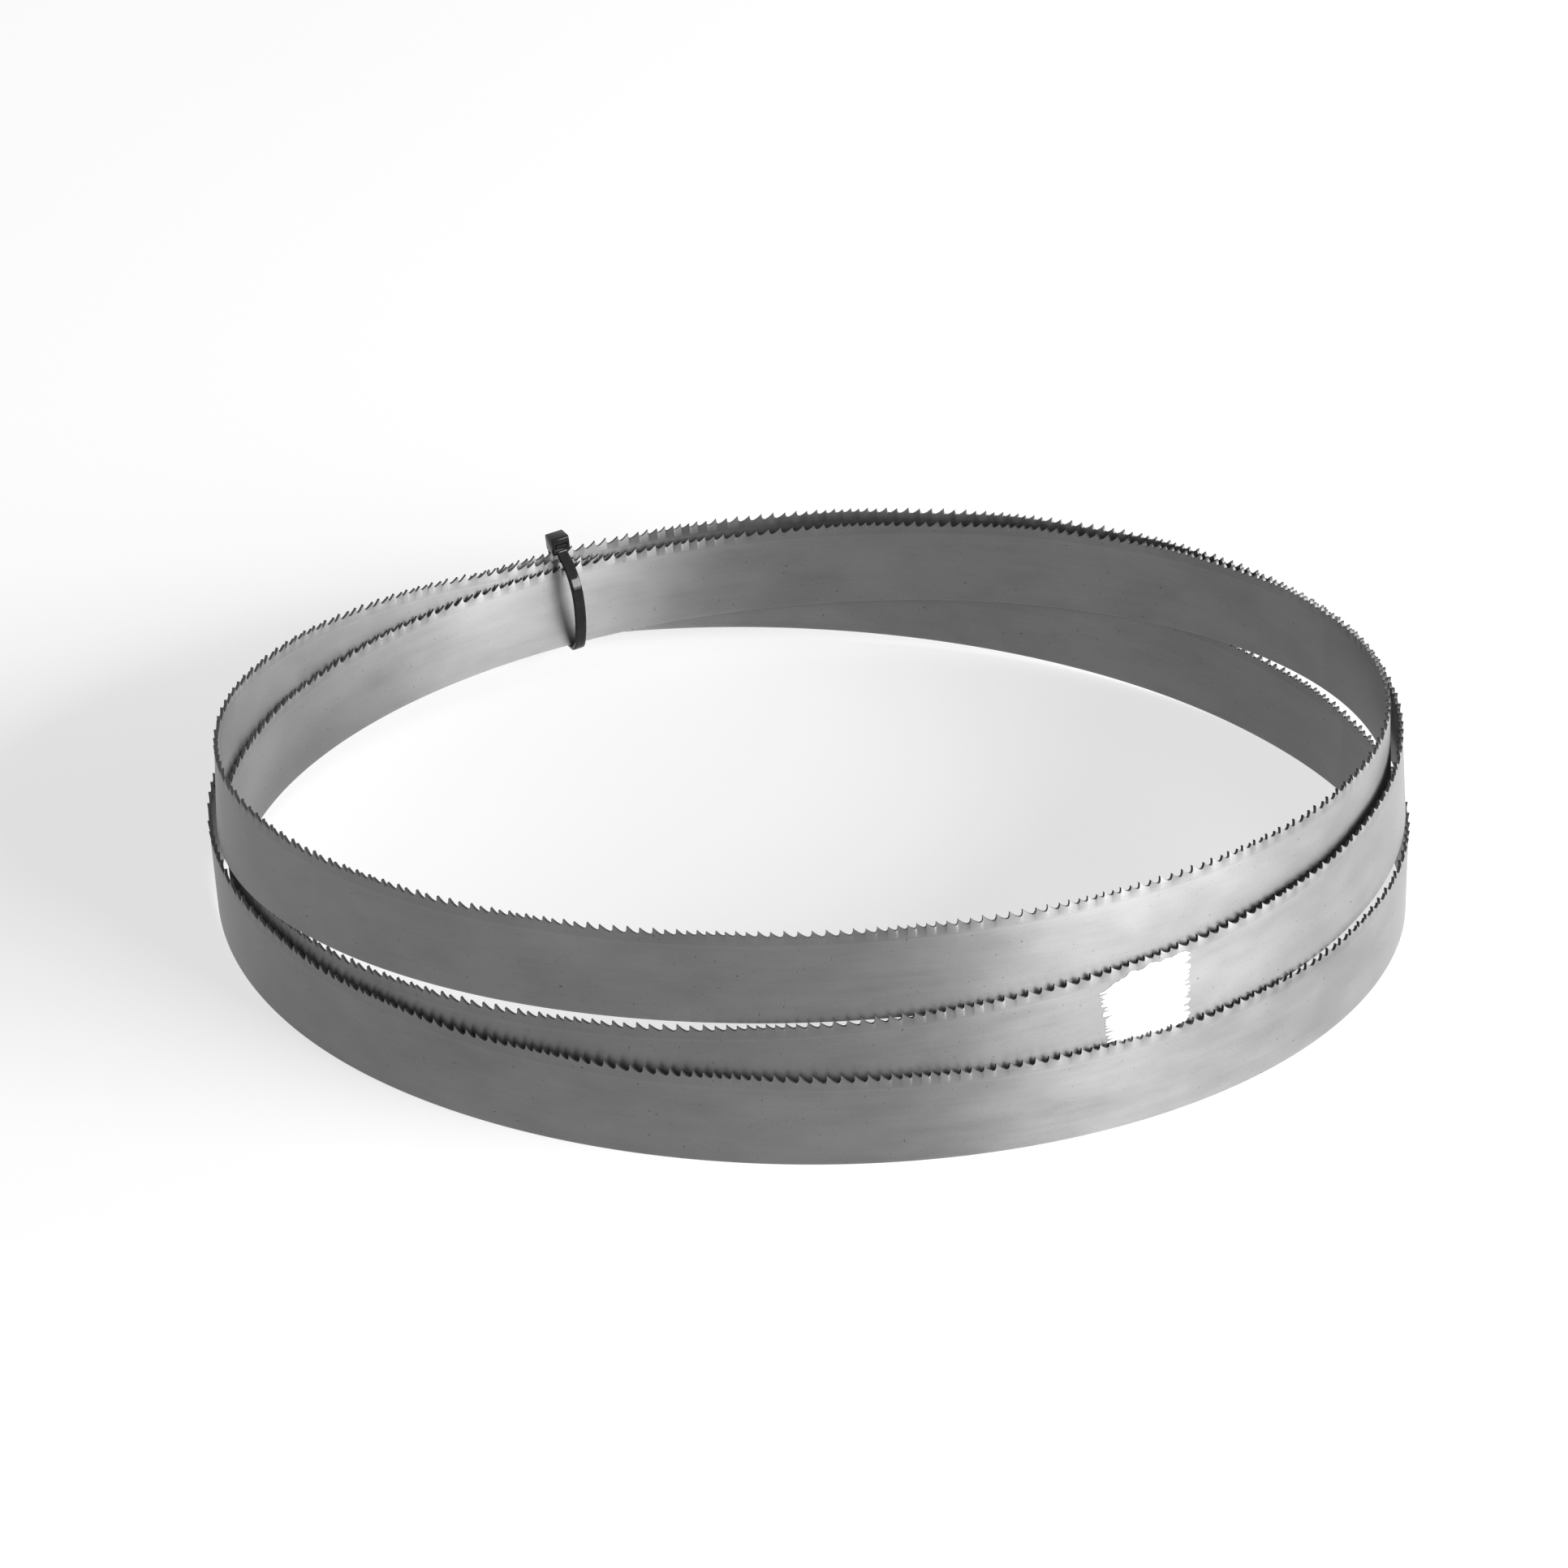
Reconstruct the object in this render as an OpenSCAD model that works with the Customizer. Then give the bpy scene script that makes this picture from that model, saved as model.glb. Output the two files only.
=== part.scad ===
// Metal-cutting band saw blade, one welded toothed band folded into three turns and tied.
// It lies on its back edge with the teeth up. Millimetres, +Z up, the front is -Y.
// The origin is on the floor, under the middle of the blade's box.
//
// The loop angle runs from 0 to 1080 along the band. It is 0 at the left of the first turn,
// 90 at its front, 180 at its right and 270 at its back, and so on for the second and third.
// The first turn leans on the second at the front left, and passes to its inside there.
// The second rides over the teeth of the third at the right, and passes to its outside.
// The third lies on the floor, goes back under both and climbs at the back left.

/* [Band] */
// Width of the band, from its back edge to the tooth tips
blade_w = 27; // [20:0.5:31]
// Thickness of the band
blade_t = 0.9; // [0.6:0.05:1.3]

/* [Teeth] */
// Mean distance from tooth to tooth
pitch_mean = 3.2; // [3:0.1:4.4]
// How far the distance swings to each side of its mean, as a share of it
pitch_swing = 0.2; // [0:0.01:0.3]
// Depth of a gullet of mean pitch below the tooth tips
gullet_depth = 1.6; // [1:0.1:2.2]
// Lean of the cutting face ahead of square
rake_angle = 5; // [0:1:10]
// Sideways bend of the tip of a set tooth
tooth_set = 0.33; // [0.1:0.01:0.4]
// Teeth in one cycle: one straight tooth, then pairs bent out and in
cycle_teeth = 17; // [9:2:21]

/* [Coil] */
// Diameter of the middle lane
coil_d = 345; // [300:1:420]
// Free space between the teeth of neighbouring lanes
lane_gap = 1; // [0.8:0.1:2]
// Height left over the teeth where one turn crosses another
cross_gap = 1.6; // [1.3:0.1:3]
// Lift of the band where the first turn ends and the second begins
dip_lift = 2.4; // [1.5:0.1:4]

/* [Cable tie] */
// Loop angle at which the tie holds the turns
tie_angle = 295.6; // [288:0.1:302]
// Tilt of the tie along the band
tie_tilt = 7; // [0:0.5:12]
// Width of the strap
strap_w = 3.6; // [2.4:0.1:4.8]
// Thickness of the strap
strap_t = 1.2; // [0.9:0.1:1.5]
// Free space between the strap and the band where it lies closest
strap_gap = 0.4; // [0.3:0.1:1]
// How far the strap bows away from the band inside the coil
strap_bow = 5.5; // [2:0.1:7]
// Width of the head, along the band
head_w = 5.8; // [5.6:0.1:8]
// Length of the head, across the band
head_l = 5.8; // [5.4:0.1:8]
// Height of the head
head_h = 5.4; // [5:0.1:7]
// Chamfer along the edges of the head
head_chamfer = 0.5; // [0.2:0.1:0.8]
// Free space round the strap's end in the head's window
window_gap = 0.25; // [0.15:0.05:0.4]
// Width of the pawl that holds the strap's end
pawl_w = 2.8; // [1.6:0.1:3.2]

/* [Label] */
// Length of the blank paper label along the band
label_l = 31; // [12:1:40]
// Height of the label across the band
label_h = 22; // [10:0.5:22]
// Distance from the tooth tips down to the label
label_drop = 2.5; // [2.4:0.1:6]
// Thickness of the paper
label_t = 0.15; // [0.1:0.01:0.3]
// Loop angle at the middle of the label
label_angle = 482.6; // [470:0.1:500]

/* [Hidden] */

// One whole run of the band, in degrees
turns = 3;
loop_angle = 360 * turns;
// Spacing of the lanes that the turns lie in
lane_step = blade_t + 2 * tooth_set + lane_gap;

// Lane that the middle of the band's width keeps to, in steps outward of the coil's middle lane.
// Each entry is a loop angle and the lane there.
lane_route = [[6, 0.55], [104, -1.3], [360, -0.5], [600, 0.7], [690, 2.2], [752, 0.5], [886, 1.35], [938, -0.2]];

// Lift of the back edge above the floor, at its highest and lowest places.
// The second turn tops out where it rides over the third, the first is carried over the second.
over_angle = 546;
top_angle = 119;
dip_angle = 357;
down_angle = 742;
climb_angle = 930;
first_cross = 64;
over_lift = blade_w + cross_gap;
carried_lift = between(dip_lift, over_lift, (first_cross + 360 - dip_angle) / (over_angle - dip_angle));
climb_share = between(0, 1, (first_cross + loop_angle - climb_angle) / (top_angle + loop_angle - climb_angle));
top_lift = (carried_lift + blade_w + cross_gap) / climb_share;
lift_route = [[top_angle, top_lift], [dip_angle, dip_lift], [over_angle, over_lift], [down_angle, 0], [climb_angle, 0]];

// Value a share of the way from one level to the next, eased at both ends
function between(from, to, share) = from + (to - from) * (1 - cos(180 * share)) / 2;

// Value of a closed route at any loop angle
function along(route, angle) =
    let (
        a = angle - loop_angle * floor(angle / loop_angle),
        n = len(route),
        passed = len([for (stop = route) if (stop[0] <= a) stop]),
        last = passed == 0 ? route[n - 1] - [loop_angle, 0] : route[passed - 1],
        next = passed == n ? route[0] + [loop_angle, 0] : route[passed]
    )
    between(last[1], next[1], (a - last[0]) / (next[0] - last[0]));

function lift(angle) = along(lift_route, angle);
function lane_r(angle) = coil_d / 2 + lane_step * along(lane_route, angle);

// Slope of the band and the bend of that slope, read over a short stretch.
// A flat steel band can't bend in its own plane, so it leans inward where its lift tops out.
stretch = 25;
radian = 180 / PI;
function slope(angle) = (lift(angle + 1) - lift(angle - 1)) * radian / 2 / lane_r(angle);
function lean(angle) =
    atan(-(lift(angle + stretch) - 2 * lift(angle) + lift(angle - stretch))
        * pow(radian / stretch, 2) / lane_r(angle));

// Radius and height of a point of the band's section, from its distance up from the back edge
// and its distance out from the middle of the thickness
function section(angle, up, out) =
    let (b = lean(angle))
    [
        lane_r(angle) + (blade_w / 2 - up) * sin(b) + out * cos(b),
        lift(angle) + blade_t / 2 * abs(sin(b)) + up * cos(b) + out * sin(b)
    ];
function on_band(angle, up, out) =
    let (
        s = section(angle, up, out),
        turned = 180 + angle - up * slope(angle) / s[0] * radian
    )
    [s[0] * cos(turned), s[0] * sin(turned), s[1]];

// Length of the loop and the loop angle at any length along it
step_angle = 3;
loop_table = [
    for (a = 0, length = 0; a <= loop_angle; length = length + loop_piece(a), a = a + step_angle) [length, a]
];
function loop_piece(a) =
    lane_r(a + step_angle / 2) * step_angle / radian * sqrt(1 + pow(slope(a + step_angle / 2), 2));
loop_length = loop_table[len(loop_table) - 1][0];
function angle_at(length) = lookup(length, loop_table);

// Teeth: whole cycles are fitted round the loop. In each cycle the pitch is largest at the
// straight tooth and smallest halfway between two of them.
cycles = round(loop_length / (pitch_mean * cycle_teeth));
tooth_count = cycles * cycle_teeth;
cycle_length = loop_length / cycles;
function pitch_share(i) = 1 + pitch_swing * cos(360 * (i + 0.5) / cycle_teeth);
cycle_starts = [for (i = 0, s = 0; i < cycle_teeth; s = s + pitch_share(i), i = i + 1) s];
function tooth_start(i) =
    (floor(i / cycle_teeth) + cycle_starts[i % cycle_teeth] / cycle_teeth) * cycle_length;
function depth_before(i) = gullet_depth * pitch_share((i + cycle_teeth - 1) % cycle_teeth);
function set_side(i) = let (j = i % cycle_teeth) j == 0 ? 0 : j % 2 == 0 ? 1 : -1;

// The back edge has one pair of corners for every few teeth
teeth_per_span = 3;
span_count = ceil(tooth_count / teeth_per_span);

// Corners of the band. Each tooth has its root and its tip, each span its back edge,
// on the outer face and then on the inner face.
function root_point(i, side) =
    let (depth = depth_before(i))
    on_band(angle_at(tooth_start(i) + depth * tan(rake_angle)), blade_w - depth, side * blade_t / 2);
function tip_point(i, side) =
    on_band(angle_at(tooth_start(i)), blade_w, side * blade_t / 2 + set_side(i) * tooth_set);
function back_point(g, side) =
    on_band(angle_at(tooth_start(g * teeth_per_span)), 0, side * blade_t / 2);
tooth_points = [
    for (i = [0:tooth_count - 1]) each [root_point(i, 1), root_point(i, -1), tip_point(i, 1), tip_point(i, -1)]
];
back_points = [for (g = [0:span_count - 1]) each [back_point(g, 1), back_point(g, -1)]];
band_points = concat(tooth_points, back_points);

// Numbers of those corners. Side 0 is the outer face, side 1 the inner face.
function root_at(i, side) = 4 * (i % tooth_count) + side;
function tip_at(i, side) = 4 * (i % tooth_count) + 2 + side;
function back_at(g, side) = 4 * tooth_count + 2 * (g % span_count) + side;

// A triangle of the outer face and its partner on the inner face
function both_sides(a, b, c) = [[a[0], b[0], c[0]], [c[1], b[1], a[1]]];
// Two triangles that close the edge from one corner pair to the next
function edge_strip(a, b) = [[b[0], a[0], a[1]], [b[0], a[1], b[1]]];
function root_pair(i) = [root_at(i, 0), root_at(i, 1)];
function tip_pair(i) = [tip_at(i, 0), tip_at(i, 1)];
function back_pair(g) = [back_at(g, 0), back_at(g, 1)];

tooth_faces = [
    for (i = [0:tooth_count - 1]) each concat(
        both_sides(root_pair(i), tip_pair(i), root_pair(i + 1)),
        both_sides(back_pair(floor(i / teeth_per_span)), root_pair(i), root_pair(i + 1)),
        edge_strip(root_pair(i), tip_pair(i)),
        edge_strip(tip_pair(i), root_pair(i + 1))
    )
];
back_faces = [
    for (g = [0:span_count - 1]) each concat(
        both_sides(back_pair(g), root_pair(min((g + 1) * teeth_per_span, tooth_count)), back_pair(g + 1)),
        edge_strip(back_pair(g + 1), back_pair(g))
    )
];

// Middle of the blade's box, which is put over the origin
middle_x = (max([for (p = band_points) p[0]]) + min([for (p = band_points) p[0]])) / 2;
middle_y = (max([for (p = band_points) p[1]]) + min([for (p = band_points) p[1]])) / 2;

// Box of the three turns at the tie, as distances from the coil's axis and heights
tie_stops = [for (k = [0:turns - 1]) tie_angle + 360 * k];
tooth_reach = blade_t / 2 + tooth_set;
tie_low = [for (a = tie_stops) section(a, 0, 0)];
tie_high = [for (a = tie_stops) section(a, blade_w, 0)];
bundle_in = min([for (s = concat(tie_low, tie_high)) s[0]]) - tooth_reach;
bundle_out = max([for (s = concat(tie_low, tie_high)) s[0]]) + tooth_reach;
bundle_low = min([for (s = tie_low) s[1]]);
bundle_high = max([for (s = tie_high) s[1]]);

// Lines that the middle of the strap keeps to
strap_in = bundle_in - strap_gap - strap_t / 2;
strap_out = bundle_out + strap_gap + strap_t / 2;
strap_under = bundle_low - strap_gap - strap_t / 2;

// The head sits over the teeth, set out from the inner turn, with its window a little below the middle
head_lift = 1.4;
head_setback = 1.9;
window_share = 0.44;
head_low = bundle_high + head_lift;
head_in = bundle_in + head_setback;
head_out = head_in + head_l;
window_mid = head_low + head_h * window_share;
bundle_h = head_low - strap_under;
bundle_mid = (bundle_in + bundle_out) / 2;

// Route of the strap, from its root under the head, down inside the coil, under the turns,
// up outside them and over into the head's window, where its end is cut flush
strap_route = [
    [head_in + strap_t / 2, head_low + strap_t * 0.7],
    [head_in + strap_t / 3, head_low - strap_t / 3],
    [strap_in - strap_bow * 0.43, head_low - bundle_h * 0.1],
    [strap_in - strap_bow, head_low - bundle_h * 0.3],
    [strap_in - strap_bow, head_low - bundle_h * 0.5],
    [strap_in - strap_bow * 0.75, head_low - bundle_h * 0.72],
    [strap_in - strap_t * 1.1, strap_under + strap_t * 1.8],
    [bundle_in + strap_t * 0.4, strap_under - strap_t],
    [bundle_mid, strap_under - strap_t * 0.4],
    [bundle_out - strap_t * 0.4, strap_under - strap_t],
    [strap_out + strap_t * 0.5, strap_under + strap_t * 1.8],
    [strap_out, strap_under + bundle_h * 0.3],
    [strap_out, strap_under + bundle_h * 0.65],
    [strap_out, head_low - strap_t],
    [strap_out + strap_t * 0.4, window_mid + strap_t * 0.2],
    [head_out - strap_t * 0.2, window_mid + strap_t * 0.1],
    [head_out - head_l / 2, window_mid],
    [head_in, window_mid]
];

// Smooth curve near a route, that starts and ends at its ends
smooth_steps = 5;
padded_route = concat(
    [2 * strap_route[0] - strap_route[1]],
    strap_route,
    [2 * strap_route[len(strap_route) - 1] - strap_route[len(strap_route) - 2]]
);
function smooth_point(i, t) =
    (pow(1 - t, 3) * padded_route[i]
    + (3 * pow(t, 3) - 6 * pow(t, 2) + 4) * padded_route[i + 1]
    + (-3 * pow(t, 3) + 3 * pow(t, 2) + 3 * t + 1) * padded_route[i + 2]
    + pow(t, 3) * padded_route[i + 3]) / 6;
strap_line = concat(
    [for (i = [0:len(padded_route) - 4]) for (k = [0:smooth_steps - 1]) smooth_point(i, k / smooth_steps)],
    [smooth_point(len(padded_route) - 4, 1)]
);
function strap_edge(side) =
    let (last = len(strap_line) - 1)
    [
        for (i = [0:last])
            let (run = strap_line[min(i + 1, last)] - strap_line[max(i - 1, 0)])
            strap_line[i] + side * strap_t / 2 * [-run[1], run[0]] / norm(run)
    ];
function backwards(list) = [for (i = [len(list) - 1:-1:0]) list[i]];

module blade() {
    color([0.66, 0.66, 0.66])
        translate([-middle_x, -middle_y, 0])
            polyhedron(points = band_points, faces = concat(tooth_faces, back_faces), convexity = 10);
}

// Puts a drawing of distances from the coil's axis and heights upright at the tie
module at_tie(width) {
    translate([-middle_x, -middle_y, 0])
        rotate([0, 0, 180 + tie_angle])
            translate([0, 0, strap_under])
                rotate([-tie_tilt, 0, 0])
                    translate([0, width / 2, -strap_under])
                        rotate([90, 0, 0])
                            linear_extrude(width)
                                children();
}

module head_outline() {
    c = head_chamfer;
    polygon([
        [head_in + c, head_low], [head_out - c, head_low],
        [head_out, head_low + c], [head_out, head_low + head_h - c],
        [head_out - c, head_low + head_h], [head_in + c, head_low + head_h],
        [head_in, head_low + head_h - c], [head_in, head_low + c]
    ]);
}

module head_window() {
    translate([head_in - 1, window_mid - strap_t / 2 - window_gap])
        square([head_l + 2, strap_t + 2 * window_gap]);
}

// Wedge in the roof of the window that bites into the strap's end
module pawl() {
    bite = 0.1;
    polygon([
        [head_in + head_l * 0.25, window_mid + strap_t / 2 - bite],
        [head_in + head_l * 0.5, window_mid + strap_t / 2 - bite],
        [head_out - head_chamfer, window_mid + strap_t / 2 + window_gap + bite],
        [head_in + head_l * 0.25, window_mid + strap_t / 2 + window_gap + bite]
    ]);
}

module cable_tie() {
    color([0.07, 0.07, 0.07]) {
        difference() {
            at_tie(head_w) head_outline();
            at_tie(strap_w + 2 * window_gap) head_window();
        }
        at_tie(pawl_w) pawl();
        at_tie(strap_w) polygon(concat(strap_edge(1), backwards(strap_edge(-1))));
    }
}

// Corners of the label, on a few stations along the band
label_air = 0.05;
label_stations = 10;
label_span = label_l / lane_r(label_angle) * radian;
function label_ring(k) =
    let (
        a = label_angle + label_span * (k / label_stations - 0.5),
        top = blade_w - label_drop,
        near = blade_t / 2 + label_air,
        far = near + label_t
    )
    [
        on_band(a, top - label_h, near), on_band(a, top - label_h, far),
        on_band(a, top, far), on_band(a, top, near)
    ];
label_points = [for (k = [0:label_stations]) each label_ring(k)];
label_sides = [
    for (k = [0:label_stations - 1]) for (j = [0:3])
        let (a = 4 * k + j, b = 4 * k + (j + 1) % 4)
        each [[a, b, a + 4], [b, b + 4, a + 4]]
];
label_ends = [[3, 2, 1, 0], [for (j = [0:3]) 4 * label_stations + j]];

module paper_label() {
    color([0.97, 0.97, 0.96])
        translate([-middle_x, -middle_y, 0])
            polyhedron(points = label_points, faces = concat(label_sides, label_ends));
}

blade();
cable_tie();
paper_label();
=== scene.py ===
import math
import bmesh
import bpy
from mathutils import Matrix, Vector


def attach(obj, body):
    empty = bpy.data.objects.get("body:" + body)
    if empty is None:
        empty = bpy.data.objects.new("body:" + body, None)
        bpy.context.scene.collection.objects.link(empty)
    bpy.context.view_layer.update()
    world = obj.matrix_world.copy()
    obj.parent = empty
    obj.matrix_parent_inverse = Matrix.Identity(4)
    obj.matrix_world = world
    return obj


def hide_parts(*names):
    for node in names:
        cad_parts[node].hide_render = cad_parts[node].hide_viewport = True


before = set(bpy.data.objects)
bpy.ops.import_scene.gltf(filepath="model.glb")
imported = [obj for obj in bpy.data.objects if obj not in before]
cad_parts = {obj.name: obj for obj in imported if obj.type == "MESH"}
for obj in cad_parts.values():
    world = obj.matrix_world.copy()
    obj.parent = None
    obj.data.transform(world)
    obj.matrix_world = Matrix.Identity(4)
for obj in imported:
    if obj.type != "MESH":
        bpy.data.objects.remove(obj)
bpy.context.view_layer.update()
mm = 0.001  # the dictionaries hold mm and degrees, except where they say otherwise
print("frame loaded")


# A socket that can be added, multiplied and compared; each sign adds one Math node
class Flow:
    def __init__(self, bench, socket):
        self.bench, self.socket = bench, socket

    def also(self, name):  # another output of the same node
        return Flow(self.bench, self.socket.node.outputs[name])

    def __add__(self, other):
        return self.bench.sums("ADD", self, other)

    def __radd__(self, other):
        return self.bench.sums("ADD", other, self)

    def __sub__(self, other):
        return self.bench.sums("SUBTRACT", self, other)

    def __rsub__(self, other):
        return self.bench.sums("SUBTRACT", other, self)

    def __mul__(self, other):
        return self.bench.sums("MULTIPLY", self, other)

    def __rmul__(self, other):
        return self.bench.sums("MULTIPLY", other, self)

    def __truediv__(self, other):
        return self.bench.sums("DIVIDE", self, other)

    def __rtruediv__(self, other):
        return self.bench.sums("DIVIDE", other, self)

    def __pow__(self, other):
        return self.bench.sums("POWER", self, other)

    def __mod__(self, other):
        return self.bench.sums("MODULO", self, other)

    def __gt__(self, other):
        return self.bench.sums("GREATER_THAN", self, other)

    def __lt__(self, other):
        return self.bench.sums("LESS_THAN", self, other)

    def __neg__(self):
        return self.bench.sums("MULTIPLY", self, -1.0)


# A node tree and the one way to add a node to it
class Bench:
    def __init__(self, tree):
        self.tree = tree

    def add(self, kind, settings=None, sockets=None, out=0):
        node = self.tree.nodes.new(kind)
        for name, value in (settings or {}).items():
            if name == "choices":
                while len(node.index_switch_items) < value:
                    node.index_switch_items.new()
            else:
                setattr(node, name, value)
        for name, value in (sockets or {}).items():
            for part in value if isinstance(value, list) else [value]:  # a list links one socket many times
                if isinstance(part, Flow):
                    self.tree.links.new(part.socket, node.inputs[name])
                else:
                    node.inputs[name].default_value = part
        return Flow(self, node.outputs[out]) if len(node.outputs) else None

    def inputs(self, *names):  # the tree's own named inputs
        first = self.add("NodeGroupInput", out=names[0])
        return [first.also(name) for name in names]

    def sums(self, operation, *values):
        return self.add("ShaderNodeMath", {"operation": operation}, dict(enumerate(values)))

    def sine(self, angle):
        return self.sums("SINE", angle)

    def cosine(self, angle):
        return self.sums("COSINE", angle)

    def whole(self, value):
        return self.sums("FLOOR", value)

    def size(self, value):  # without its sign
        return self.sums("ABSOLUTE", value)

    def choose(self, index, values):  # one number out of a list, by its place
        sockets = {0: index, **{1 + i: value for i, value in enumerate(values)}}
        return self.add("GeometryNodeIndexSwitch", {"data_type": "FLOAT", "choices": len(values)}, sockets)

    def between(self, value, low, high, newLow=0.0, newHigh=1.0):
        return self.add("ShaderNodeMapRange", None, {"Value": value, 1: low, 2: high, 3: newLow, 4: newHigh})

    def blend(self, share, first, second):  # colours
        return self.add("ShaderNodeMix", {"data_type": "RGBA"}, {0: share, 6: first, 7: second}, out=2)

    def vector(self, x, y, z):
        return self.add("ShaderNodeCombineXYZ", None, {0: x, 1: y, 2: z})

    def split(self, vector):
        x = self.add("ShaderNodeSeparateXYZ", None, {0: vector})
        return x, x.also("Y"), x.also("Z")

    def vectors(self, operation, sockets, out=0):
        return self.add("ShaderNodeVectorMath", {"operation": operation}, sockets, out)

    def noise(self, place, scale, detail, roughness=0.5):
        return self.add("ShaderNodeTexNoise", {"noise_dimensions": "3D"},
                        {"Vector": place, "Scale": scale, "Detail": detail, "Roughness": roughness})

    def keep(self, shape, name, value, kind="FLOAT_VECTOR"):  # a named attribute on every point
        return self.add("GeometryNodeStoreNamedAttribute", {"data_type": kind, "domain": "POINT"},
                        {"Geometry": shape, "Name": name, "Value": value})

    def place(self, shape, position):
        return self.add("GeometryNodeSetPosition", None, {"Geometry": shape, "Position": position})


def addToScene(name, data):
    made = bpy.data.objects.new(name, data)
    bpy.context.scene.collection.objects.link(made)
    return made


# A Geometry Nodes tree with one input for each value it will be given
def newTree(name, values, takesShape=False, makes="Geometry"):
    tree = bpy.data.node_groups.new(name, "GeometryNodeTree")
    if takesShape:
        tree.interface.new_socket("Geometry", in_out="INPUT", socket_type="NodeSocketGeometry")
    for label, value in values.items():
        kind = "NodeSocketInt" if isinstance(value, int) else "NodeSocketFloat"
        tree.interface.new_socket(label, in_out="INPUT", socket_type=kind)
    kind = "NodeSocketGeometry" if makes == "Geometry" else "NodeSocketFloat"
    tree.interface.new_socket(makes, in_out="OUTPUT", socket_type=kind)
    return Bench(tree)


def finishTree(bench, shape, material):
    real = bench.add("GeometryNodeRealizeInstances", None, {"Geometry": shape})
    done = bench.add("GeometryNodeSetMaterial", None, {"Geometry": real, "Material": material})
    bench.add("NodeGroupOutput", None, {"Geometry": done})


def shapeObject(name, tree, values, material, drawn=None, turn=None, sharpAt=30):
    holder = addToScene(name + ".maker", drawn or bpy.data.meshes.new(name + ".maker"))
    modifier = holder.modifiers.new("shape", "NODES")
    modifier.node_group = tree
    for entry in tree.interface.items_tree:
        if entry.in_out == "INPUT" and entry.name in values:
            modifier[entry.identifier] = values[entry.name]
    return plainPiece(name, holder, material, turn, sharpAt)


# The evaluated object as a plain mesh, with its place in the mesh
def plainPiece(name, holder, material, turn, sharpAt):
    bpy.context.view_layer.update()
    depsgraph = bpy.context.evaluated_depsgraph_get()
    seen = holder.evaluated_get(depsgraph)
    mesh = bpy.data.meshes.new_from_object(seen, preserve_all_data_layers=True, depsgraph=depsgraph)
    bpy.data.objects.remove(holder)
    if turn is not None:
        mesh.transform(turn)
    shell = bmesh.new()
    shell.from_mesh(mesh)
    bmesh.ops.remove_doubles(shell, verts=shell.verts, dist=1e-7)
    bmesh.ops.recalc_face_normals(shell, faces=shell.faces)
    shell.to_mesh(mesh)
    shell.free()
    mesh.shade_smooth()
    mesh.set_sharp_from_angle(angle=math.radians(sharpAt))
    mesh.name = name
    mesh.materials.clear()
    mesh.materials.append(material)
    return addToScene(name, mesh)


def newMaterial(name):
    material = bpy.data.materials.new(name)
    material.use_nodes = True
    material.node_tree.nodes.clear()
    return material, Bench(material.node_tree)


def principled(bench, values):
    surface = bench.add("ShaderNodeBsdfPrincipled", None, values)
    bench.add("ShaderNodeOutputMaterial", None, {"Surface": surface})


# The folded loop: three turns in lanes, with the band's lift above the floor along them.
# Loop angles start at the left and run on by the front, the right and the back
loopSizes = {
    "bandWidth": 27.0,
    "bandThickness": 0.9,
    "toothSet": 0.33,
    "coilDiameter": 345.0,
    "laneGap": 1.0,
    "crossGap": 1.6,  # left over the teeth where one turn crosses another
    "dipLift": 2.4,
    "laneRoute": [(6, 0.55), (104, -1.3), (360, -0.5), (600, 0.7), (690, 2.2), (752, 0.5),
                  (886, 1.35), (938, -0.2)],  # loop angle, and lane outwards from half the coil's diameter
    "topAngle": 119,
    "dipAngle": 357,
    "overAngle": 546,
    "downAngle": 742,
    "climbAngle": 930,
    "firstCross": 64,
    "boxMiddle": (-0.8421, 0.2281),  # the middle of the object's box, from the coil's axis
}
turnAngle = 360
loopAngle = 3.0 * turnAngle
bandWidth = loopSizes["bandWidth"] * mm
bandThickness = loopSizes["bandThickness"] * mm
middleX, middleY = (-part * mm for part in loopSizes["boxMiddle"])  # where the coil's axis stands


def eased(start, end, share):
    return start + (end - start) * (1 - math.cos(math.pi * share)) / 2


def liftRoute(s):
    over = s["bandWidth"] + s["crossGap"]
    crossNext, crossLast = s["firstCross"] + turnAngle, s["firstCross"] + loopAngle
    carried = eased(s["dipLift"], over, (crossNext - s["dipAngle"]) / (s["overAngle"] - s["dipAngle"]))
    climbed = eased(0, 1, (crossLast - s["climbAngle"]) / (s["topAngle"] + loopAngle - s["climbAngle"]))
    top = (carried + s["bandWidth"] + s["crossGap"]) / climbed
    return [(s["topAngle"], top), (s["dipAngle"], s["dipLift"]), (s["overAngle"], over),
            (s["downAngle"], 0.0), (s["climbAngle"], 0.0)]


# A closed route as nodes: each station adds its own eased step
def routeGroup(name, route, scale, base):
    last, first = route[-1], route[0]
    stations = [(last[0] - loopAngle, last[1])] + route + [(first[0] + loopAngle, first[1])]
    bench = newTree(name, {"Loop angle": 0.0}, makes="Level")
    angle = bench.add("NodeGroupInput", out="Loop angle")
    level = base + scale * stations[0][1]
    for (a, low), (b, high) in zip(stations, stations[1:]):
        if high != low:
            swing = bench.cosine(bench.between(angle, a, b, 0.0, math.pi))
            level = level + (1.0 - swing) * (scale * (high - low) / 2)
    bench.add("NodeGroupOutput", None, {"Level": level})
    return bench.tree


laneStep = (loopSizes["bandThickness"] + 2 * loopSizes["toothSet"] + loopSizes["laneGap"]) * mm
liftGroup = routeGroup("band lift", liftRoute(loopSizes), mm, 0.0)
laneGroup = routeGroup("band lane", loopSizes["laneRoute"], laneStep, loopSizes["coilDiameter"] / 2 * mm)


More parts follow.
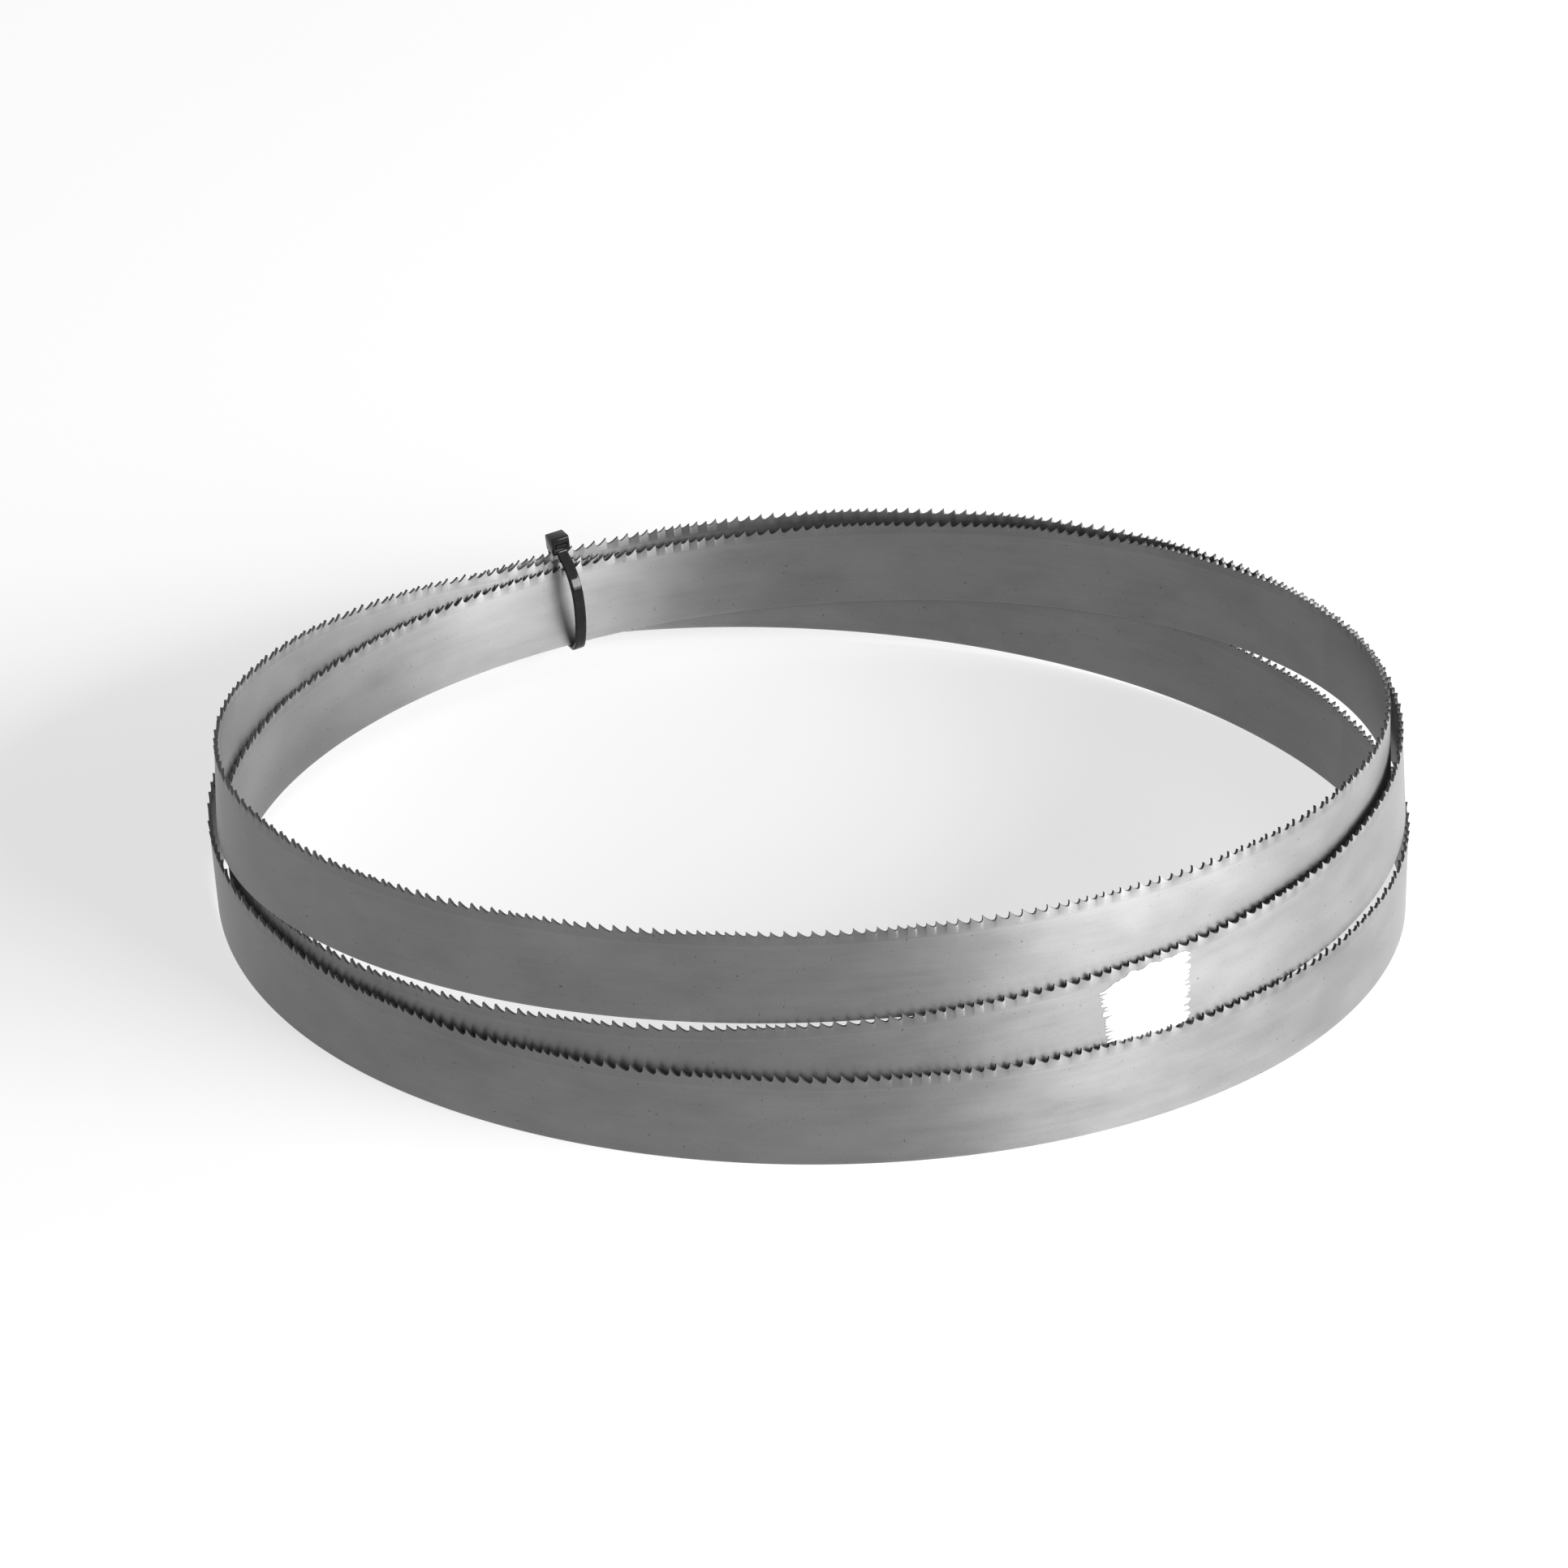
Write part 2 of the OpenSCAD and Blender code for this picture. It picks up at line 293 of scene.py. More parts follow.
# A point of the band: its loop angle, how far up from the back edge and how far out from mid thickness
def bandPoint(bench, angle, up, out, width, thickness):
    def levelAt(shift):
        return bench.add("GeometryNodeGroup", {"node_tree": liftGroup}, {"Loop angle": angle + shift})
    radius = bench.add("GeometryNodeGroup", {"node_tree": laneGroup}, {"Loop angle": angle})
    degree, bendSpan = math.degrees(1), 25.0  # the bend is measured over this many degrees each way
    lift = levelAt(0.0)
    slope = (levelAt(1.0) - levelAt(-1.0)) * (degree / 2) / radius
    bend = (levelAt(bendSpan) - 2.0 * lift + levelAt(-bendSpan)) * (degree / bendSpan) ** 2 / radius
    lean = bench.sums("ARCTANGENT", -bend)
    leanSine, leanCosine = bench.sine(lean), bench.cosine(lean)
    away = radius + (width * 0.5 - up) * leanSine + out * leanCosine
    height = lift + thickness * 0.5 * bench.size(leanSine) + up * leanCosine + out * leanSine
    turned = (angle + 180.0) * math.radians(1) - up * slope / away
    return bench.vector(away * bench.cosine(turned) + middleX, away * bench.sine(turned) + middleY, height)


# Ground steel: fine lines along the band, a line where the tooth strip joins the back, specks, dull patches
steelSizes = {
    "grey": 0.175,
    "toothGrey": 0.165,
    "blueShare": 1.01,
    "roughness": 0.45,
    "bump": 0.11,
    "bumpDepth": 0.04,
    "grainRelief": 0.6,
    "streakRelief": 0.4,
    "speckPit": 0.7,
    "lineRidge": 0.4,
    "stretch": 0.65,  # highlights spread across the grinding lines
    "stretchTurn": 0.25,  # of a full turn
    "patterns": {  # bumps in a metre along and up the band, detail, and a seed that sets each apart
        "grain": (55.0, 5200.0, 3.0, 0.0),
        "streaks": (14.0, 620.0, 3.0, 3.7),
        "patches": (22.0, 45.0, 2.0, 8.1),
        "smudges": (60.0, 130.0, 4.0, 2.4),
        "specks": (900.0, 900.0, 1.0, 5.3),
        "dust": (2600.0, 2600.0, 0.0, 1.9),
        "weldEdge": (300.0, 220.0, 2.0, 6.6),
    },
    "patternRoughness": 0.6,
    "greySwing": {"grain": 0.036, "streaks": 0.021, "patches": 0.075, "smudges": 0.05},
    "roughSwing": {"streaks": 0.06, "patches": 0.07, "smudges": 0.06},
    "speckFade": (0.75, 0.79),
    "speckShade": 0.45,
    "speckRough": 0.2,
    "dustFade": (0.74, 0.80),
    "dustShade": 0.3,
    "gulletShadeFade": (0.55, 0.85),  # how squarely a face looks in or out, from full painted shade to none
    "paintedGulletShade": 0.6,  # painted shade and dark reflection: how much darker the gullets, tooth tops and back edge are made
    "stripLine": 22.6,  # up from the back edge
    "stripFade": 0.5,
    "lineWidth": 0.4,
    "lineCore": 0.35,
    "lineLight": 0.007,
    "backFade": (0.15, 0.6),  # up from the back edge
    "backLight": 0.03,
    "loopLength": 3262.65,  # the whole band, from one end at the butt weld to the other
    "weldHalf": 4.5,  # each side of the butt weld
    "weldRagged": 0.5,
    "weldFade": (0.75, 1.05),
    "weldLight": 0.025,
    "weldGloss": 0.05,
    "seamFade": (0.05, 0.14),
    "seamShade": 0.08,
}


def makeSteel():
    s = steelSizes
    material, b = newMaterial("groundSteel")
    along, up = b.split(b.add("ShaderNodeAttribute", {"attribute_name": "bandPlace"}, out="Vector"))[:2]

    def pattern(name):
        stretchAlong, stretchUp, detail, seed = s["patterns"][name]
        spot = b.vector(along * stretchAlong, up * stretchUp, seed)
        return b.noise(spot, 1.0, detail, s["patternRoughness"])

    def fadeOut(value, name):
        return b.between(value, *s[name], 1.0, 0.0)

    fields = {name: pattern(name) for name in ("grain", "streaks", "patches", "smudges")}

    def swung(amounts, start):  # each pattern moves the value both ways
        return sum(((fields[name] - 0.5) * amount for name, amount in amounts.items()), start)

    specks = b.between(pattern("specks"), *s["speckFade"])
    dust = b.between(pattern("dust"), *s["dustFade"])
    fromLine = b.size(up - s["stripLine"] * mm) / (s["lineWidth"] * mm)
    line = b.between(fromLine, s["lineCore"], 1.0, 1.0, 0.0)
    toothStrip = b.between(up, s["stripLine"] * mm, (s["stripLine"] + s["stripFade"]) * mm)
    backEdge = b.between(up, s["backFade"][0] * mm, s["backFade"][1] * mm, 1.0, 0.0)

    # painted shade: the faces that don't look straight in or out (gullets, tooth tops, back edge) are
    # darkened to stand in for the shade and dark reflections there
    spot = b.add("ShaderNodeTexCoord", out="Object")
    outward = b.vectors("NORMALIZE", {0: b.vectors("MULTIPLY", {0: spot, 1: (1.0, 1.0, 0.0)})})
    facing = b.add("ShaderNodeNewGeometry", out="True Normal")
    gulletShadeMask = fadeOut(b.size(b.vectors("DOT_PRODUCT", {0: facing, 1: outward}, out="Value")), "gulletShadeFade")

    toWeld = b.sums("MINIMUM", along, s["loopLength"] * mm - along) / (s["weldHalf"] * mm)
    weld = fadeOut(toWeld + (pattern("weldEdge") - 0.5) * s["weldRagged"], "weldFade")
    seam = fadeOut(toWeld, "seamFade")

    tone = swung(s["greySwing"], s["grey"] + (s["toothGrey"] - s["grey"]) * toothStrip)
    tone = tone + line * s["lineLight"] + backEdge * s["backLight"]
    tone = tone + weld * s["weldLight"] - seam * s["seamShade"]
    tone = tone * (1.0 - s["speckShade"] * specks) * (1.0 - s["dustShade"] * dust)
    # painted shade and dark reflection on the gullets, tooth tops and back edge
    tone = tone * (1.0 - s["paintedGulletShade"] * gulletShadeMask)
    colour = b.add("ShaderNodeCombineColor", None, {0: tone, 1: tone, 2: tone * s["blueShare"]})
    roughness = swung(s["roughSwing"], s["roughness"]) + specks * s["speckRough"] - weld * s["weldGloss"]
    relief = fields["grain"] * s["grainRelief"] + fields["streaks"] * s["streakRelief"]
    relief = relief - specks * s["speckPit"] + line * s["lineRidge"] - seam
    normal = b.add("ShaderNodeBump", None,
                   {"Height": relief, "Strength": s["bump"], "Distance": s["bumpDepth"] * mm})
    principled(b, {"Base Color": colour, "Metallic": 1.0, "Roughness": roughness, "Normal": normal,
                   "Anisotropic": s["stretch"], "Anisotropic Rotation": s["stretchTurn"]})
    return material


# The toothed band. Every tooth has six columns of points: tip, hollow back and rounded gullet
bandSizes = {
    "teethInCycle": 17,
    "cycles": 60,
    "pitchSwing": 0.2,
    "gulletDepth": 1.6,
    "edgeBreak": 0.14,
    "bendLine": 3.7,  # from the tips down to where the set bend begins
    "bendKnee": 2.3,  # from the tips down to where it turns sharpest
    "kneeShare": 0.14,  # share of the set that the knee has
    "columnAlong": [0.0, 0.17, 0.44, 0.72, 0.90, 0.99],  # share of the pitch; the last is the face's foot
    "columnDown": [0.0, 0.33, 0.74, 1.0, 0.92, 0.52],  # share of the gullet's depth
    "columnTop": [1.0, 0.67, 0.26, 0.0, 0.08, 0.0],  # share of the set at the top of each column
    "columnKnee": [1.0, 0.85, 0.55, 0.20, 0.50, 1.0],  # and at the knee
}
columnCount = len(bandSizes["columnAlong"])
ringCount = 10  # points round the band's section


# A curve with one point at each degree of the loop, to find the loop angle at any length
def loopGuide(b, index):
    line = b.add("GeometryNodeMeshLine", {"mode": "OFFSET"}, {"Count": int(loopAngle) + 1})
    line = b.place(line, bandPoint(b, index * 1.0, 0.0, 0.0, 0.0, 0.0))
    return b.add("GeometryNodeMeshToCurve", None, {"Mesh": line})


# Where each point of the tube goes: along the loop, up from the back edge and out from mid thickness
def toothPoints(b, index, loopLength):
    s = bandSizes
    width, thickness, count, swing = b.inputs("Band width", "Band thickness", "Tooth count", "Pitch swing")
    depthMean, toothSet, edgeBreak = b.inputs("Gullet depth", "Tooth set", "Edge break")
    bendLine, bendKnee, kneeShare = b.inputs("Bend line", "Bend knee", "Knee share")
    column = b.whole((index + 0.5) / float(ringCount))
    spot = b.whole(index % float(ringCount) + 0.5)
    tooth = b.whole((column + 0.5) / float(columnCount))
    step = b.whole(column % float(columnCount) + 0.5)
    beat = 2 * math.pi / s["teethInCycle"]

    def toothStart(number):  # pitch is largest at the unset tooth of each cycle
        return (number + swing * b.sine(number * beat) / (2 * math.sin(beat / 2))) * loopLength / count

    start = toothStart(tooth)
    along = (start + (toothStart(tooth + 1.0) - start) * b.choose(step, s["columnAlong"])) % loopLength
    down = depthMean * (1.0 + swing * b.cosine((tooth + 0.5) * beat)) * b.choose(step, s["columnDown"])

    # the last two columns belong to the next tooth; set goes right, left and so on, and the first is unset
    onNext, onFace = step > columnCount - 2.5, step > columnCount - 1.5
    owner = b.whole((tooth + onNext) % float(s["teethInCycle"]) + 0.5)
    fullBend = (1.0 - 2.0 * (owner % 2.0)) * (owner > 0.5) * toothSet
    kneeBend = fullBend * kneeShare * b.choose(step, s["columnKnee"])
    topShare = b.choose(step, s["columnTop"]) + onFace * (1.0 - down / bendKnee)  # keeps the face straight
    topBend = kneeBend + (fullBend - kneeBend) * topShare

    top, low, knee, half = width - down, width - bendLine, width - bendKnee, thickness * 0.5
    foot = half - edgeBreak
    up = b.choose(spot, [edgeBreak, low, knee, top, top, knee, low, edgeBreak, 0.0, 0.0])
    out = b.choose(spot, [half, half, half + kneeBend, half + topBend, topBend - half, kneeBend - half,
                          -half, -half, -foot, foot])
    return along, up, out


def makeBand(steel):
    s = bandSizes
    values = {
        "Band width": bandWidth, "Band thickness": bandThickness,
        "Tooth count": s["teethInCycle"] * s["cycles"],
        "Pitch swing": s["pitchSwing"], "Gullet depth": s["gulletDepth"] * mm,
        "Tooth set": loopSizes["toothSet"] * mm, "Edge break": s["edgeBreak"] * mm,
        "Bend line": s["bendLine"] * mm, "Bend knee": s["bendKnee"] * mm, "Knee share": s["kneeShare"]}
    b = newTree("toothed band", values)
    width, thickness, count = b.inputs("Band width", "Band thickness", "Tooth count")
    index = b.add("GeometryNodeInputIndex")
    guide = loopGuide(b, index)
    loopLength = b.add("GeometryNodeCurveLength", None, {"Curve": guide})

    # one closed tube with a ring of points at every column; its own size is lost when they are placed
    tubePath = b.add("GeometryNodeCurvePrimitiveCircle", {"mode": "RADIUS"},
                     {"Resolution": count * float(columnCount), "Radius": 1.0})
    tubeRing = b.add("GeometryNodeCurvePrimitiveCircle", {"mode": "RADIUS"},
                     {"Resolution": ringCount, "Radius": 0.1})
    tube = b.add("GeometryNodeCurveToMesh", None, {"Curve": tubePath, "Profile Curve": tubeRing})
    along, up, out = toothPoints(b, index, loopLength)
    angle = b.add("GeometryNodeSampleCurve",
                  {"mode": "LENGTH", "data_type": "FLOAT", "use_all_curves": False},
                  {"Curves": guide, "Value": index * 1.0, "Length": along})
    tube = b.keep(tube, "bandPlace", b.vector(along, up, out))
    finishTree(b, b.place(tube, bandPoint(b, angle, up, out, width, thickness)), steel)
    made = shapeObject("toothedBand", b.tree, values, steel)

    # a sharp line where the set bend begins keeps the flat of the band free of the teeth's shading
    places, bendStart = made.data.attributes["bandPlace"].data, bandWidth - s["bendLine"] * mm
    onLine = [abs(place.vector[1] - bendStart) < 1e-5 for place in places]
    for edge in made.data.edges:
        if onLine[edge.vertices[0]] and onLine[edge.vertices[1]]:
            edge.use_edge_sharp = True
    return made


band = makeBand(makeSteel())
print("band made", len(band.data.polygons))


# Blank paper label with torn ends, wrapped round the outer face of the middle turn
labelSizes = {
    "length": 31.0,
    "height": 22.0,
    "drop": 2.5,  # from the tooth tips
    "thickness": 0.15,
    "air": 0.05,
    "middleAngle": 482.6,
    "laneRadius": 172.8,
    "gridPoints": (61, 241),
    "seed": 2.6,
    "tear": 0.6,
    "tearNoise": 150.0,
    "tearFade": (0.3, 0.7),
    "hair": 4.2,
    "hairNoise": 760.0,
    "hairShift": 4.0,  # keeps the hairs apart from the tear
    "hairFade": (0.57, 0.38),
    "hairPower": 1.5,
    "endPower": 3.0,  # how close to the ends the tear stays
    "narrowing": 1.7,  # the torn ends lean in towards the lower edge
    "topWave": 1.1,
    "waveNoise": 260.0,
    "waveFade": (0.35, 0.65),
    "cornerCut": 3.6,  # lost from the height at the left end
    "cornerFade": (-0.12, -0.5),  # shares of the length from the middle
    "topPower": 1.4,  # how close to the upper edge the loss stays
}
paperSizes = {
    "grey": (0.86, 0.86, 0.85, 1),
    "pale": (0.93, 0.93, 0.925, 1),
    "roughness": 0.86,
    "fibres": 2600.0,
    "clouds": 240.0,
    "fibreShare": 0.6,
    "mixFade": (0.35, 0.65),
    "roughSwing": 0.1,
    "bump": 0.35,
    "bumpDepth": 0.05,
}


def makePaper():
    s = paperSizes
    material, b = newMaterial("blankPaper")
    spot = b.add("ShaderNodeTexCoord", out="Object")
    fibres, clouds = b.noise(spot, s["fibres"], 3.0), b.noise(spot, s["clouds"], 2.0)
    mixed = fibres * s["fibreShare"] + clouds * (1 - s["fibreShare"])
    colour = b.blend(b.between(mixed, *s["mixFade"]), s["grey"], s["pale"])
    normal = b.add("ShaderNodeBump", None,
                   {"Height": fibres, "Strength": s["bump"], "Distance": s["bumpDepth"] * mm})
    roughness = s["roughness"] + (clouds - 0.5) * s["roughSwing"]
    principled(b, {"Base Color": colour, "Roughness": roughness, "Normal": normal})
    return material


def paperSlab(b, length, height, thickness):
    columns, rows = labelSizes["gridPoints"]
    sheet = b.add("GeometryNodeMeshGrid", None,
                  {"Size X": length, "Size Y": height, "Vertices X": columns, "Vertices Y": rows})
    raised = b.add("GeometryNodeExtrudeMesh", {"mode": "FACES"}, {
        "Mesh": sheet, "Offset": b.vector(0.0, 0.0, 1.0), "Offset Scale": thickness, "Individual": False})
    under = b.add("GeometryNodeFlipFaces", None, {"Mesh": sheet})
    both = b.add("GeometryNodeJoinGeometry", None, {"Geometry": [raised, under]})
    return b.add("GeometryNodeMergeByDistance", None, {"Geometry": both, "Distance": 0.01 * mm})


def makeLabel(paper):
    s = labelSizes
    values = {
        "Length": s["length"] * mm, "Height": s["height"] * mm, "Thickness": s["thickness"] * mm,
        "Tear": s["tear"] * mm, "Hair": s["hair"] * mm, "Narrowing": s["narrowing"] * mm,
        "Top wave": s["topWave"] * mm, "Corner cut": s["cornerCut"] * mm, "Seed": s["seed"]}
    b = newTree("paper label", values)
    length, height, thickness, tear, hair = b.inputs("Length", "Height", "Thickness", "Tear", "Hair")
    narrowing, topWave, cornerCut, seed = b.inputs("Narrowing", "Top wave", "Corner cut", "Seed")
    slab = paperSlab(b, length, height, thickness)
    x, y, z = b.split(b.add("GeometryNodeInputPosition"))
    side = b.sums("SIGN", x)
    nearEnd = (b.size(x) / (length * 0.5)) ** s["endPower"]

    def ragged(scale, shift):
        return b.noise(b.vector(side * 3.0, y, seed + shift), scale, 2.0)
    hairs = b.between(ragged(s["hairNoise"], s["hairShift"]), *s["hairFade"]) ** s["hairPower"]
    torn = tear * b.between(ragged(s["tearNoise"], 0.0), *s["tearFade"]) + hair * hairs
    torn = torn + narrowing * (0.5 - y / height)
    wave = b.between(b.noise(b.vector(x, 0.0, seed), s["waveNoise"], 2.0), *s["waveFade"])
    lost = topWave * wave + cornerCut * b.between(x / length, *s["cornerFade"])
    y = y - (y / height + 0.5) ** s["topPower"] * lost
    x = x - side * nearEnd * torn
    angle = s["middleAngle"] + x * (math.degrees(1) / (s["laneRadius"] * mm))
    up = y + (bandWidth - s["drop"] * mm) - height * 0.5
    out = z + (bandThickness / 2 + s["air"] * mm)
    finishTree(b, b.place(slab, bandPoint(b, angle, up, out, bandWidth, bandThickness)), paper)
    return shapeObject("blankLabel", b.tree, values, paper)


label = makeLabel(makePaper())
print("label made", len(label.data.polygons))


# Nylon cable tie round the three turns at the back left, drawn in distance from the coil's axis and height
tieSizes = {
    "loopAngle": 295.6,
    "tilt": 7.0,
    "bundle": (169.518, 177.854, 8.662, 38.66),  # the three turns there: in, out, low, high
    "strapWidth": 3.6,
    "strapThickness": 1.2,
    "strapGap": 0.4,
    "strapBow": 5.5,
    "strapStep": 0.25,  # between the sections along the strap
    "cornerRound": 0.3,
    "rackPitch": 1.0,
    "rackDepth": 0.22,
    "rackHalf": 0.36,  # share of the strap's width, each way from the middle
    "headWidth": 5.8,
    "headLength": 5.8,
    "headHeight": 5.4,
    "headLift": 1.4,
    "headSetback": 1.9,
    "headChamfer": 0.5,
    "windowShare": 0.44,
    "windowGap": 0.25,
    "windowFlare": 0.6,
    "cutBeyond": 1.0,  # how far past the block the opening is drawn
    "pawlWidth": 2.8,
    "pawlHeel": 0.25,  # share of the head's length
    "pawlTip": 0.5,
    "pawlBite": 0.1,  # into the strap's rack
    "edgeRound": 0.2,
}
nylonSizes = {
    "black": (0.006, 0.006, 0.0065, 1),
    "worn": (0.014, 0.014, 0.015, 1),
    "roughness": 0.13,
    "shine": 0.17,
    "flow": 420.0,
    "mould": 5200.0,
    "scuffs": 900.0,
    "flowFade": (0.3, 0.7),
    "scuffFade": (0.60, 0.72),
    "flowShare": 0.6,  # of the colour, and the scuffs have the rest
    "flowRough": 0.05,
    "scuffRough": 0.08,
    "flowRelief": 0.7,  # and the mould's grain has the rest
    "bump": 0.05,
    "bumpDepth": 0.08,
}


def makeNylon():
    s = nylonSizes
    material, b = newMaterial("blackNylon")
    spot = b.add("ShaderNodeTexCoord", out="Object")
    flow, mould = b.noise(spot, s["flow"], 3.0), b.noise(spot, s["mould"], 2.0)
    scuffs = b.between(b.noise(spot, s["scuffs"], 4.0), *s["scuffFade"])
    worn = b.between(flow, *s["flowFade"]) * s["flowShare"] + scuffs * (1 - s["flowShare"])
    colour = b.blend(worn, s["black"], s["worn"])
    roughness = s["roughness"] + (flow - 0.5) * s["flowRough"] + scuffs * s["scuffRough"]
    relief = flow * s["flowRelief"] + mould * (1 - s["flowRelief"])
    normal = b.add("ShaderNodeBump", None,
                   {"Height": relief, "Strength": s["bump"], "Distance": s["bumpDepth"] * mm})
    principled(b, {"Base Color": colour, "Roughness": roughness, "Normal": normal,
                   "Specular IOR Level": s["shine"]})
    return material


# The heights and distances that strap and head share, and the strap's way from the head round to its window
def tieLines(s):
    bundleIn, bundleOut, bundleLow, bundleHigh = s["bundle"]
    t, bow = s["strapThickness"], s["strapBow"]
    under = bundleLow - s["strapGap"] - t / 2
    inside, outside = bundleIn - s["strapGap"] - t / 2, bundleOut + s["strapGap"] + t / 2
    headLow, headIn = bundleHigh + s["headLift"], bundleIn + s["headSetback"]
    headOut = headIn + s["headLength"]
    window = headLow + s["headHeight"] * s["windowShare"]
    tall, middle = headLow - under, (bundleIn + bundleOut) / 2
    route = [
        (headIn + t / 2, headLow + t * 0.7), (headIn + t / 3, headLow - t / 3),
        (inside - bow * 0.43, headLow - tall * 0.1), (inside - bow, headLow - tall * 0.3),
        (inside - bow, headLow - tall * 0.5), (inside - bow * 0.75, headLow - tall * 0.72),
        (inside - t * 1.1, under + t * 1.8), (bundleIn + t * 0.4, under - t), (middle, under - t * 0.4),
        (bundleOut - t * 0.4, under - t), (outside + t * 0.5, under + t * 1.8), (outside, under + tall * 0.3),
        (outside, under + tall * 0.65), (outside, headLow - t), (outside + t * 0.4, window + t * 0.2),
        (headOut - t * 0.2, window + t * 0.1), (headOut - s["headLength"] / 2, window), (headIn, window),
    ]
    return {"under": under, "headLow": headLow, "headIn": headIn, "headOut": headOut, "window": window,
            "route": route}


# A cubic spline near the route's points, that starts and ends on its first and last one
def smoothRoute(route, steps=6):
    def beyond(end, nextOne):
        return tuple(2 * a - b for a, b in zip(end, nextOne))
    line = [beyond(route[0], route[1])] + route + [beyond(route[-1], route[-2])]
    smooth = []
    for i in range(len(line) - 3):
        for k in range(steps):
            t = k / steps
            shares = ((1 - t) ** 3, 3 * t ** 3 - 6 * t ** 2 + 4, -3 * t ** 3 + 3 * t ** 2 + 3 * t + 1, t ** 3)
            smooth.append(tuple(sum(w * p[j] for w, p in zip(shares, line[i:i + 4])) / 6 for j in (0, 1)))
    return smooth + [route[-1]]


def tieTurn(lines):
    s = tieSizes
    pivot = Matrix.Translation((0, 0, lines["under"] * mm))
    toPlace = Matrix.Translation((middleX, middleY, 0))
    toPlace = toPlace @ Matrix.Rotation(math.radians(180 + s["loopAngle"]), 4, "Z")
    return toPlace @ pivot @ Matrix.Rotation(math.radians(-s["tilt"]), 4, "X") @ pivot.inverted()


def makeStrap(lines, nylon):
    s = tieSizes
    drawn = bpy.data.meshes.new("strapRoute")
    points = [(away * mm, 0.0, height * mm) for away, height in smoothRoute(lines["route"])]
    drawn.from_pydata(points, [(i, i + 1) for i in range(len(points) - 1)], [])
    values = {"Strap width": s["strapWidth"] * mm, "Strap thickness": s["strapThickness"] * mm,
              "Corner round": s["cornerRound"] * mm, "Rack pitch": s["rackPitch"] * mm,
              "Rack depth": s["rackDepth"] * mm}
    b = newTree("tie strap", values, takesShape=True)
    route, strapWidth, strapThickness = b.inputs("Geometry", "Strap width", "Strap thickness")
    cornerRound, rackPitch, rackDepth = b.inputs("Corner round", "Rack pitch", "Rack depth")

    path = b.add("GeometryNodeMeshToCurve", None, {"Mesh": route})
    path = b.add("GeometryNodeResampleCurve", {"mode": "LENGTH"},
                 {"Curve": path, "Length": s["strapStep"] * mm})
    path = b.keep(path, "strapAt", b.add("GeometryNodeInputPosition"))
    path = b.keep(path, "strapRun", b.add("GeometryNodeInputTangent"))
    path = b.keep(path, "strapLength", b.add("GeometryNodeSplineParameter", out="Length"), "FLOAT")
    section = b.add("GeometryNodeCurvePrimitiveQuadrilateral", {"mode": "RECTANGLE"},
                    {"Width": strapWidth, "Height": strapThickness})
    section = b.add("GeometryNodeFilletCurve", {"mode": "POLY"},
                    {"Curve": section, "Radius": cornerRound, "Count": 2})
    section = b.add("GeometryNodeSubdivideCurve", None, {"Curve": section, "Cuts": 3})
    section = b.keep(section, "strapSpot", b.add("GeometryNodeInputPosition"))
    swept = b.add("GeometryNodeCurveToMesh", None,
                  {"Curve": path, "Profile Curve": section, "Fill Caps": True})

    def stored(name, kind="FLOAT_VECTOR"):
        return b.add("GeometryNodeInputNamedAttribute", {"data_type": kind}, {"Name": name})
    sideways, across = b.split(stored("strapSpot"))[:2]
    onRack = (across > strapThickness * 0.45) * (b.size(sideways) < strapWidth * s["rackHalf"])
    wave = (stored("strapLength", "FLOAT") / rackPitch) % 1.0
    across = across - onRack * rackDepth * (1.0 - wave)
    toBundle = b.vectors("CROSS_PRODUCT", {0: stored("strapRun"), 1: (0.0, 1.0, 0.0)})
    moved = b.vectors("SCALE", {0: toBundle, "Scale": across})
    shifted = b.vectors("ADD", {0: moved, 1: b.vector(0.0, sideways, 0.0)})
    finishTree(b, b.place(swept, b.vectors("ADD", {0: stored("strapAt"), 1: shifted})), nylon)
    return shapeObject("tieStrap", b.tree, values, nylon, drawn, tieTurn(lines), 35)


def prism(name, outline, halfWidth):
    shell = bmesh.new()
    near = [shell.verts.new((x * mm, -halfWidth * mm, z * mm)) for x, z in outline]
    far = [shell.verts.new((x * mm, halfWidth * mm, z * mm)) for x, z in outline]
    shell.faces.new(near)
    shell.faces.new(far[::-1])
    for i in range(len(outline)):
        j = (i + 1) % len(outline)
        shell.faces.new((near[j], near[i], far[i], far[j]))
    bmesh.ops.recalc_face_normals(shell, faces=shell.faces)
    mesh = bpy.data.meshes.new(name)
    shell.to_mesh(mesh)
    shell.free()
    return addToScene(name, mesh)


def joinShape(block, name, operation, other):
    joined = block.modifiers.new(name, "BOOLEAN")
    joined.operation, joined.object, joined.solver = operation, other, "EXACT"


